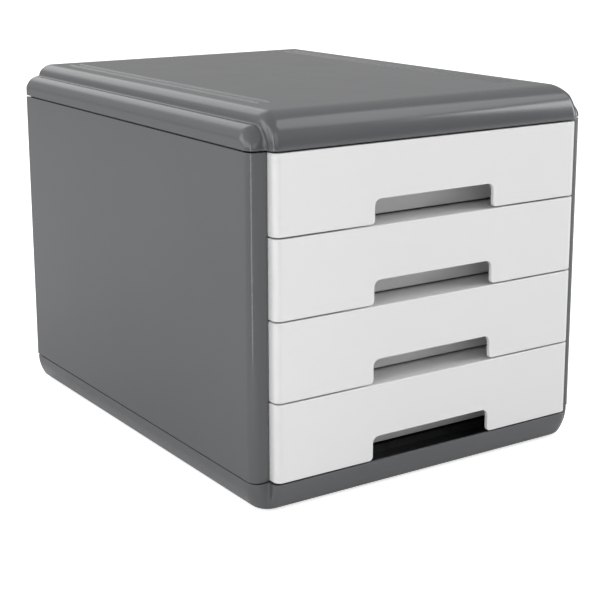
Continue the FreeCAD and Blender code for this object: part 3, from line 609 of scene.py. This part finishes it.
# --------------------------------------------------------------- the drawers
def make_front(n, z):
    """Front moulding: a shell open below and closed on top, with the finger
    notch in the lower edge of its face."""
    low, high = z + 0.6, z + PITCH - 0.6
    edge, top, skin = 0.5, 0.8, 2.5
    half, notch, notch_top, nc, nf = 131.3, 52.0, low + 17.1, 5.0, 3.0
    rear = -153.5
    B = Build()
    plan_o = outline([(-half, FRONT, 5.2), (half, FRONT, 5.2), (half, rear, 0.6), (-half, rear, 0.6)], 12)
    plan_i = outline([(-half + skin, FRONT + 3.0, 2.6), (half - skin, FRONT + 3.0, 2.6),
                      (half - skin, rear - skin, 0.6), (-half + skin, rear - skin, 0.6)], 12)
    k = 13   # points of one corner
    # the notch in the face: (x, z, outward direction in the face)
    path = []
    for j in range(9):
        a = math.radians(-90 + 90 * j / 8)
        path.append((-notch - nf + nf * math.cos(a), low + nf + nf * math.sin(a), math.cos(a), math.sin(a)))
    for j in range(13):
        a = math.radians(180 - 90 * j / 12)
        path.append((-notch + nc + nc * math.cos(a), notch_top - nc + nc * math.sin(a), -math.cos(a), -math.sin(a)))
    path += [(-x, h, -u, w) for x, h, u, w in path[::-1]]
    m = len(path)

    def spread(plan, y):
        """Plan points with the notch's points put in along the face, plus the
        height and the direction of the rim at each."""
        P, N = plan
        front = np.array([(p[0], y) for p in path])
        P2 = np.concatenate([P[:k], front, P[k:]])
        N2 = np.concatenate([N[:k], np.tile((0.0, -1.0), (m, 1)), N[k:]])
        h = np.concatenate([np.full(k, low), [p[1] for p in path], np.full(len(P) - k, low)])
        T = np.zeros((len(P2), 3))
        T[:, 2] = -1
        for i, p in enumerate(path):
            T[k + i] = (p[2], 0, p[3])
        return np.c_[P2, h], np.c_[N2, np.zeros(len(P2))], T
    Po, No, T = spread(plan_o, FRONT)
    Pi, Ni, Ti = spread(plan_i, FRONT + 3.0)
    Ni = -Ni          # the inner skin faces the hollow
    rings = []
    for j in range(6):
        a = math.radians(90 * j / 5)
        rings.append((Po - T * edge - No * edge + No * edge * math.cos(a) + T * edge * math.sin(a), No * math.cos(a) + T * math.sin(a)))
    for j in range(6):
        a = math.radians(90 - 90 * j / 5)
        rings.append((Pi - T * edge - Ni * edge + Ni * edge * math.cos(a) + T * edge * math.sin(a), Ni * math.cos(a) + T * math.sin(a)))
    ids = B.loft(rings, False, False)
    total = len(Po)
    keep = list(range(k)) + list(range(k + m, total))      # without the notch
    for ring, plan, z_edge, r, sgn in ((ids[0], plan_o, high - top, top, 1.0), (ids[-1], plan_i, high - skin - 0.6, 0.6, -1.0)):
        up = arc(plan, -r, z_edge, r, 0, 90, 6, sgn)
        cap = B.loft(up, False, True)
        low_ring = [ring[i] for i in keep]
        for i in range(len(low_ring)):
            j = (i + 1) % len(low_ring)
            if i == k - 1:      # the flat of the face, around the notch
                B.face([ring[q] for q in range(k - 1, k + m + 1)] + [cap[0][j], cap[0][i]])
            else:
                B.faces.append((low_ring[i], low_ring[j], cap[0][j], cap[0][i]))
    for s in (-1, 1):
        block(B, s * 73.0, s * 75.0, FRONT + 2.6, rear - 2.1, low + 0.2, high - 2.0)
        block(B, s * 94.0, s * 96.0, FRONT + 2.6, rear - 2.1, low + 0.2, high - 2.0)
    return B.object("drawer_%d_face" % n)


def make_tub(n, z):
    B = Build()
    out_plan = outline([(-126.3, -153.5, 0.6), (126.3, -153.5, 0.6), (126.3, 176.2, 6.0), (-126.3, 176.2, 6.0)], 10)
    in_plan = outline([(-124.3, -151.5, 4.0), (124.3, -151.5, 4.0), (124.3, 174.2, 4.0), (-124.3, 174.2, 4.0)], 10)
    rings = arc(out_plan, -0.6, z + 1.5 + 0.6, 0.6, -90, 0, 4) + arc(out_plan, -0.5, z + 52.0 - 0.5, 0.5, 0, 90, 4)
    rings += arc(in_plan, 0.5, z + 52.0 - 0.5, 0.5, 90, 180, 4) + arc(in_plan, -1.8, z + 3.7 + 1.8, 1.8, 0, -90, 7, -1.0)
    B.loft(rings)
    for s in (-1, 1):
        flange = outline([(125.7, -150, 0.5), (131.2, -150, 2.0), (131.2, 176.2, 2.0), (125.7, 176.2, 0.5)])
        prism(B, flange if s > 0 else flipped(flange), z + 49.6, z + 52.0, 0.4, 0.4)
        block(B, s * 128.2, s * 131.2, 170, 174, z + 51.5, z + 53.6, 0.4)
    return B.object("drawer_%d_tub" % n)


def make_foot(name, x, y):
    B = Build()
    prism(B, circle(x, y, 9.0, 64), 0.0, 2.2, 0.8, 0.2, 6)
    return B.object(name)


finish_piece(make_lid(), HOUSING, "housing_grey", "housing", "top_cover")
finish_piece(make_base(), HOUSING, "housing_grey", "housing", "base_tray")
finish_piece(make_side(-1), HOUSING, "housing_grey", "housing", "left_side_panel")
finish_piece(make_side(1), HOUSING, "housing_grey", "housing", "right_side_panel")
finish_piece(make_runner(-1), RUNNER, "runner_grey", "housing", "left_runner_panel")
finish_piece(make_runner(1), RUNNER, "runner_grey", "housing", "right_runner_panel")
finish_piece(make_back(), HOUSING, "housing_grey", "housing", "back_panel")
for n in (1, 2, 3, 4):
    seam = SEAM_LOW + PITCH * (4 - n)
    finish_piece(make_front(n, seam), FACE, "drawer_white", "drawer_%d" % n, "drawer_%d_front" % n)
    finish_piece(make_tub(n, seam), TUB, "tray_white", "drawer_%d" % n, "drawer_%d_tray" % n)
for name, x, y in (("front_left", -104, -146), ("front_right", 104, -146), ("rear_left", -104, 154), ("rear_right", 104, 154)):
    finish_piece(make_foot("foot_%s_pad" % name, x, y), RUBBER, "foot_rubber", "housing", "foot_" + name)

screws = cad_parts["base_screws"]
screws.data.materials.clear()
screws.data.materials.append(STEEL)

# --------------------------------------------------------------------- studio
scene = bpy.context.scene
scene.view_settings.view_transform = "Standard"
scene.view_settings.look = "None"
scene.view_settings.exposure = 0.0
scene.view_settings.gamma = 1.0


# The room's brightness in the reflections: a dim ground tone, brighter
# overhead, and soft bright regions given by direction, how far they reach in
# degrees (full, nothing) and strength.
ROOM_LOW, ROOM_HIGH = 0.20, 0.62
GLOWS = (((0.545, 0.839, 0.15), 10.0, 30.0, 0.13),
         ((-0.66, 0.70, 0.22), 18.0, 62.0, 0.36),
         ((0.16, 0.86, 0.48), 6.0, 20.0, 0.95))
# azimuth, elevation, distance, width, height, radiance
LAMPS = (("front", -20.0, 28.0, 1.9, 1.1, 1.0, 0.85),
         ("left", -78.0, 30.0, 2.6, 1.5, 1.4, 1.6),
         ("rear_left", -120.0, 22.0, 2.6, 1.5, 1.5, 1.5),
         ("right_high", 62.0, 52.0, 2.6, 1.3, 1.0, 1.5),
         ("right", 60.0, 18.0, 2.6, 1.1, 1.8, 4.7))


def floor_white():
    """Matt white, and lit up a little further where it is seen directly, as an
    overexposed sweep is in a photograph."""
    mat = bpy.data.materials.new("floor_white")
    mat.use_nodes = True
    t = mat.node_tree
    t.nodes.clear()
    matt = node(t, "ShaderNodeBsdfDiffuse", Color=(0.80, 0.80, 0.80, 1.0))
    lit = node(t, "ShaderNodeEmission", Color=(1.0, 1.0, 1.0, 1.0), Strength=0.75)
    path = node(t, "ShaderNodeLightPath")
    both = node(t, "ShaderNodeAddShader")
    t.links.new(matt.outputs[0], both.inputs[0])
    t.links.new(lit.outputs[0], both.inputs[1])
    pick = node(t, "ShaderNodeMixShader")
    t.links.new(path.outputs["Is Camera Ray"], pick.inputs[0])
    t.links.new(matt.outputs[0], pick.inputs[1])
    t.links.new(both.outputs[0], pick.inputs[2])
    t.links.new(pick.outputs[0], node(t, "ShaderNodeOutputMaterial").inputs["Surface"])
    return mat


def sheet(name, corners, mat):
    mesh = bpy.data.meshes.new(name)
    mesh.from_pydata(corners, [], [(0, 1, 2, 3)])
    mesh.update()
    o = bpy.data.objects.new(name, mesh)
    o.data.materials.append(mat)
    scene.collection.objects.link(o)
    return o


sheet("floor", [(-12, -8, 0), (12, -8, 0), (12, 16, 0), (-12, 16, 0)], floor_white())

# The room is white where it is seen directly, and dimmer, darkest low down
# behind, as the surroundings of the lit sweep.
world = bpy.data.worlds.new("studio")
scene.world = world
world.use_nodes = True
t = world.node_tree
t.nodes.clear()
seen = node(t, "ShaderNodeBackground", Color=(1.0, 1.0, 1.0, 1.0), Strength=1.0)
room = node(t, "ShaderNodeBackground", Color=(1.0, 1.0, 1.0, 1.0))
where = node(t, "ShaderNodeTexCoord")
parts = node(t, "ShaderNodeSeparateXYZ")
t.links.new(where.outputs["Generated"], parts.inputs[0])
grade = node(t, "ShaderNodeMapRange", _interpolation_type="SMOOTHSTEP")
grade.inputs["From Min"].default_value = 0.0
grade.inputs["From Max"].default_value = 0.8
grade.inputs["To Min"].default_value = ROOM_LOW
grade.inputs["To Max"].default_value = ROOM_HIGH
t.links.new(parts.outputs["Z"], grade.inputs["Value"])
level = grade.outputs["Result"]
for (dx, dy, dz), full, nothing, strength in GLOWS:
    size = math.sqrt(dx * dx + dy * dy + dz * dz)
    along = node(t, "ShaderNodeVectorMath", _operation="DOT_PRODUCT")
    along.inputs[1].default_value = (dx / size, dy / size, dz / size)
    t.links.new(where.outputs["Generated"], along.inputs[0])
    glow = node(t, "ShaderNodeMapRange", _interpolation_type="SMOOTHSTEP")
    glow.inputs["From Min"].default_value = math.cos(math.radians(nothing))
    glow.inputs["From Max"].default_value = math.cos(math.radians(full))
    glow.inputs["To Min"].default_value = 0.0
    glow.inputs["To Max"].default_value = strength
    t.links.new(along.outputs["Value"], glow.inputs["Value"])
    total = node(t, "ShaderNodeMath", _operation="ADD")
    t.links.new(level, total.inputs[0])
    t.links.new(glow.outputs["Result"], total.inputs[1])
    level = total.outputs["Value"]
t.links.new(level, room.inputs["Strength"])
path = node(t, "ShaderNodeLightPath")
pick = node(t, "ShaderNodeMixShader")
t.links.new(path.outputs["Is Camera Ray"], pick.inputs[0])
t.links.new(room.outputs[0], pick.inputs[1])
t.links.new(seen.outputs[0], pick.inputs[2])
t.links.new(pick.outputs[0], node(t, "ShaderNodeOutputWorld").inputs["Surface"])


def softbox(name, azimuth, elevation, far, wide, high, radiance, to=(0.0, 0.0, 0.12)):
    """A panel of even brightness that faces the object. Azimuth 0 is in front
    of the drawers and 90 on their right."""
    a, e = math.radians(azimuth), math.radians(elevation)
    at = Vector(to) + far * Vector((math.sin(a) * math.cos(e), -math.cos(a) * math.cos(e), math.sin(e)))
    light = bpy.data.lights.new(name, "AREA")
    light.shape = "RECTANGLE"
    light.size, light.size_y = wide, high
    light.energy = radiance * math.pi * wide * high
    o = bpy.data.objects.new(name, light)
    scene.collection.objects.link(o)
    o.location = at
    o.rotation_mode = "QUATERNION"
    o.rotation_quaternion = (Vector(to) - at).to_track_quat("-Z", "Y")
    o.visible_camera = False
    return o


for lamp in LAMPS:
    softbox(*lamp)
# an upright strip light in front of the left corner draws the fine bright
# lines along the upright edges
softbox("strip", -56.0, 0.0, 0.32, 0.04, 0.48, 4.5, (-0.145, -0.174, 0.25))

# --------------------------------------------------------------------- camera
CAMERA_AT = (-0.610970, -0.936929, 0.395633)
AZIMUTH, ELEVATION, ROLL = -33.4656, 12.8726, -0.1585
FOCAL_PIXELS, SHIFT_PIXELS = 1427.39, -60.0
cam = bpy.data.cameras.new("camera")
cam.sensor_fit = "HORIZONTAL"
cam.sensor_width = 36.0
cam.lens = FOCAL_PIXELS / 600.0 * 36.0
cam.shift_y = SHIFT_PIXELS / 600.0
cam.clip_start, cam.clip_end = 0.05, 60.0
eye = bpy.data.objects.new("camera", cam)
scene.collection.objects.link(eye)
a, e, r = (math.radians(v) for v in (AZIMUTH, ELEVATION, ROLL))
back = Vector((math.sin(a) * math.cos(e), -math.cos(a) * math.cos(e), math.sin(e)))
right = (-back).cross(Vector((0, 0, 1))).normalized()
up = right.cross(-back)
right, up = right * math.cos(r) + up * math.sin(r), up * math.cos(r) - right * math.sin(r)
eye.location = CAMERA_AT
eye.rotation_mode = "QUATERNION"
turn = np.array([list(right), list(up), list(back)]).T
from mathutils import Matrix
eye.rotation_quaternion = Matrix(turn.tolist()).to_quaternion()
scene.camera = eye
